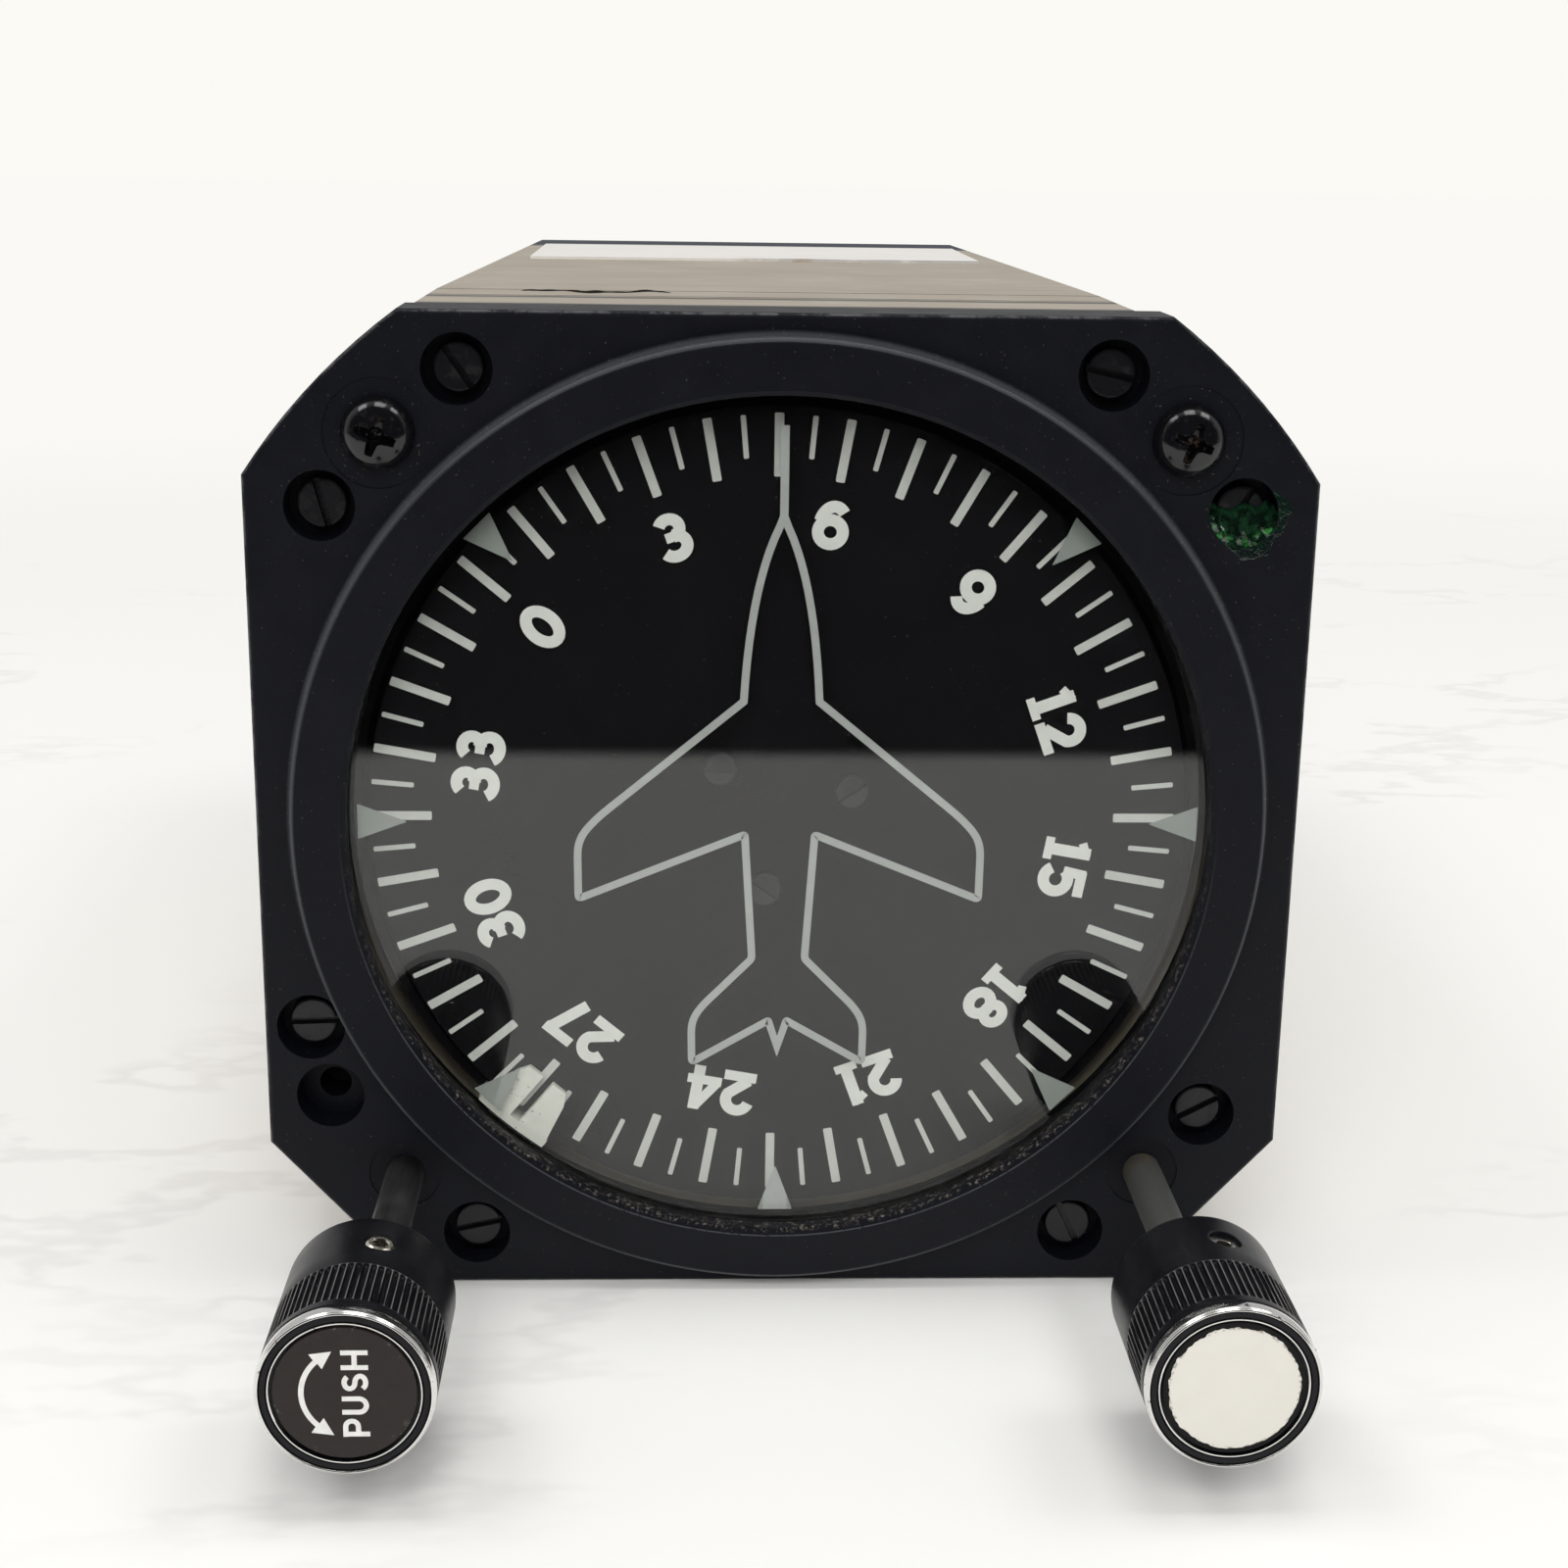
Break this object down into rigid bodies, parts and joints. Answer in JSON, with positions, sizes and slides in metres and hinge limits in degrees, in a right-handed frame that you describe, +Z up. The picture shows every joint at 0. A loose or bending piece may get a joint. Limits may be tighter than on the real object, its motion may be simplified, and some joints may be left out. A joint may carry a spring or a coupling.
{
  "type": "directional gyro",
  "caption": "Panel-mounted air-driven directional gyro: turning compass dial, heading bug, push-and-turn caging knob, gimballed rotor in a sealed case.",
  "frame": {"origin": "on the dial's axis, in the front face of the flange that seats behind the panel", "axes": "+X right as the pilot sees the dial, +Y back into the case, +Z up"},
  "size_m": [0.0842, 0.1921, 0.0811],
  "materials": {
    "bezel_black": "satin black stove enamel on a casting, with dust and rubbed edges",
    "case_paint": "semi-gloss grey-brown enamel on cast aluminium",
    "cover_paint": "dark blue-grey enamel on cast aluminium",
    "cover_glass": "clear flat glass",
    "seal_rubber": "matt black sheet rubber",
    "screw_steel": "plain steel screws, dulled",
    "screw_black": "black oxide, oiled",
    "spring_steel": "bright spring steel",
    "bearing_steel": "polished bearing steel",
    "shaft_steel": "ground steel",
    "aluminium": "machined aluminium",
    "plate_aluminium": "plain anodised sheet, with nothing printed on it",
    "brass": "machined brass",
    "filter_felt": "felt filter element",
    "dial_black": "matt black dial with off-white figures and lines",
    "bug_paint": "off-white paint",
    "knob_black": "black anodised knob with a bright turned rim",
    "disc_white": "blank white disc",
    "disc_brown": "dark brown disc with a white turn-and-push sign"
  },
  "bodies": {
    "case": {"bezel": "bezel_black", "bezel_screws": "screw_steel", "panel_screws": "screw_black", "cover_glass": "cover_glass", "glass_gasket": "seal_rubber", "glass_snap_ring": "spring_steel", "bezel_gasket": "seal_rubber", "front_housing": "case_paint", "frame_gaskets": "seal_rubber", "mechanism_frame": "case_paint", "case_body": "case_paint", "rear_gasket": "seal_rubber", "rear_cover": "cover_paint", "tie_screws": "screw_steel", "inlet_filter": "filter_felt", "filter_cap": "cover_paint", "air_duct": "aluminium", "data_plate": "plate_aluminium", "support_plate": "aluminium", "plate_screws": "screw_steel", "arbor_bearings": "bearing_steel", "shaft_bushes": "brass", "idler_studs": "shaft_steel", "fork_guide_pin": "shaft_steel", "bug_retainer": "aluminium", "pivot_bearings": "bearing_steel", "return_spring": "spring_steel"},
    "dial": {"dial_card": "dial_black", "dial_screws": "screw_black", "dial_arbor": "shaft_steel", "dial_set_gear": "brass", "dial_bevel_gear": "aluminium"},
    "outer_gimbal": {"outer_gimbal": "aluminium", "gimbal_bevel_gear": "aluminium", "gimbal_pivots": "shaft_steel", "trunnion_bearings": "bearing_steel", "air_nozzles": "brass"},
    "inner_gimbal": {"rotor_case": "aluminium", "rotor_covers": "aluminium", "trunnions": "shaft_steel", "rotor_bearings": "bearing_steel"},
    "rotor": {"rotor": "brass", "rotor_shaft": "shaft_steel"},
    "heading_bug": {"heading_bug": "bug_paint", "bug_drum": "aluminium", "bug_ring_gear": "brass"},
    "bug_idler": {"bug_idler_gear": "brass"},
    "set_idler": {"set_idler_gear": "brass"},
    "bug_knob": {"bug_shaft": "shaft_steel", "bug_pinion": "brass", "bug_knob": "knob_black", "bug_knob_disc": "disc_white", "bug_knob_set_screw": "screw_steel"},
    "cage_slider": {"cage_fork": "shaft_steel"},
    "set_knob": {"set_shaft": "shaft_steel", "set_pinion": "brass", "set_knob": "knob_black", "set_knob_disc": "disc_brown", "set_knob_set_screw": "screw_steel"}
  },
  "joints": [
    {"name": "outer_gimbal_turn", "type": "hinge", "parent": "case", "child": "outer_gimbal", "pos_m": [0, 0.06, 0], "axis": [0, 0, 1], "continuous": true},
    {"name": "inner_gimbal_tilt", "type": "hinge", "parent": "outer_gimbal", "child": "inner_gimbal", "pos_m": [0, 0.06, 0], "axis": [1, 0, 0], "range_deg": [-55, 55]},
    {"name": "rotor_spin", "type": "hinge", "parent": "inner_gimbal", "child": "rotor", "pos_m": [0, 0.06, 0], "axis": [0, 1, 0], "continuous": true},
    {"name": "dial_turn", "type": "hinge", "parent": "case", "child": "dial", "pos_m": [0, 0, 0], "axis": [0, -1, 0], "continuous": true},
    {"name": "bug_turn", "type": "hinge", "parent": "case", "child": "heading_bug", "pos_m": [0, 0, 0], "axis": [0, -1, 0], "continuous": true},
    {"name": "bug_idler_turn", "type": "hinge", "parent": "case", "child": "bug_idler", "pos_m": [0.02631, 0, -0.02566], "axis": [0, -1, 0], "continuous": true},
    {"name": "bug_knob_turn", "type": "hinge", "parent": "case", "child": "bug_knob", "pos_m": [0.03096, 0, -0.0302], "axis": [0, -1, 0], "continuous": true},
    {"name": "set_idler_turn", "type": "hinge", "parent": "case", "child": "set_idler", "pos_m": [-0.02631, 0, -0.02566], "axis": [0, -1, 0], "continuous": true},
    {"name": "cage_push", "type": "slide", "parent": "case", "child": "cage_slider", "axis": [0, 1, 0], "range_m": [0, 0.0032], "stiffness_N_per_m": 500, "springref_m": -0.002, "deforming": ["return_spring"]},
    {"name": "set_knob_turn", "type": "hinge", "parent": "cage_slider", "child": "set_knob", "pos_m": [-0.03096, 0, -0.0302], "axis": [0, -1, 0], "continuous": true}
  ],
  "couplings": [
    {"joint": "dial_turn", "follows": "outer_gimbal_turn", "ratio": 1},
    {"joint": "set_idler_turn", "follows": "outer_gimbal_turn", "ratio": -8.8},
    {"joint": "bug_idler_turn", "follows": "bug_turn", "ratio": -8.8},
    {"joint": "bug_knob_turn", "follows": "bug_turn", "ratio": 12}
  ]
}
